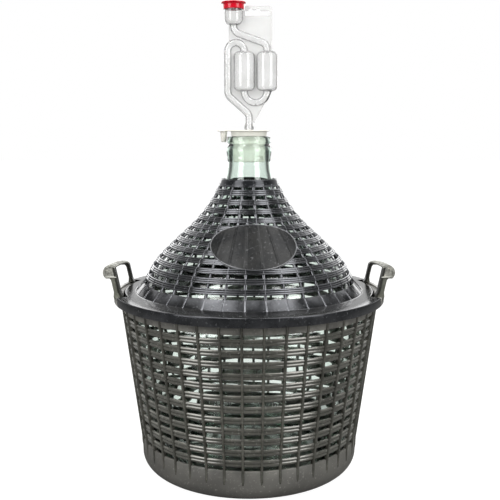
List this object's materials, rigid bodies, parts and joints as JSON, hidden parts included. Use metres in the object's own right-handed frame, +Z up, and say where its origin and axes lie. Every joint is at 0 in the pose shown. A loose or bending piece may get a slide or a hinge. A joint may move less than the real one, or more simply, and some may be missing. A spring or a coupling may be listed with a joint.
{
  "type": "demijohn",
  "caption": "Glass demijohn in a lattice plastic basket with handles, under a lattice cover, closed by a bung with a spare plug on a strap and a bubble airlock with a push-on cap.",
  "frame": {"origin": "middle of the basket's base ring, on the floor", "axes": "+Z up along the bottle's axis, handles along X, the cover's oval plaque towards -Y"},
  "size_m": [0.34, 0.3278, 0.559],
  "materials": {
    "basket_plastic": "satin black-brown moulded plastic, worn on the grips",
    "cover_plastic": "semi-gloss black moulded plastic",
    "green_glass": "clear pale green pressed glass",
    "bung_rubber": "matt cream rubber",
    "clear_plastic": "clear glossy plastic",
    "cap_plastic": "glossy red plastic"
  },
  "bodies": {
    "basket": {"basket": "basket_plastic"},
    "bottle": {"glass_bottle": "green_glass", "glass_neck": "green_glass"},
    "cover": {"cover": "cover_plastic"},
    "bung": {"bung": "bung_rubber"},
    "spare_plug": {"spare_plug": "bung_rubber"},
    "airlock": {"airlock_front_shell": "clear_plastic", "airlock_rear_shell": "clear_plastic"},
    "cap": {"airlock_cap": "cap_plastic"}
  },
  "joints": [
    {"name": "bottle_lift", "type": "slide", "parent": "basket", "child": "bottle", "axis": [0, 0, 1], "range_m": [0, 0.25]},
    {"name": "cover_lift", "type": "slide", "parent": "bottle", "child": "cover", "axis": [0, 0, 1], "range_m": [0, 0.04]},
    {"name": "bung_pull", "type": "slide", "parent": "bottle", "child": "bung", "axis": [0, 0, 1], "range_m": [0, 0.035]},
    {"name": "spare_plug_fold", "type": "hinge", "parent": "bung", "child": "spare_plug", "pos_m": [-0.02455, 0, 0.4103], "axis": [0, 1, 0], "range_deg": [0, 100]},
    {"name": "airlock_pull", "type": "slide", "parent": "bung", "child": "airlock", "axis": [0, 0, 1], "range_m": [0, 0.03]},
    {"name": "cap_pull", "type": "slide", "parent": "airlock", "child": "cap", "axis": [0, 0, 1], "range_m": [0, 0.012]}
  ]
}
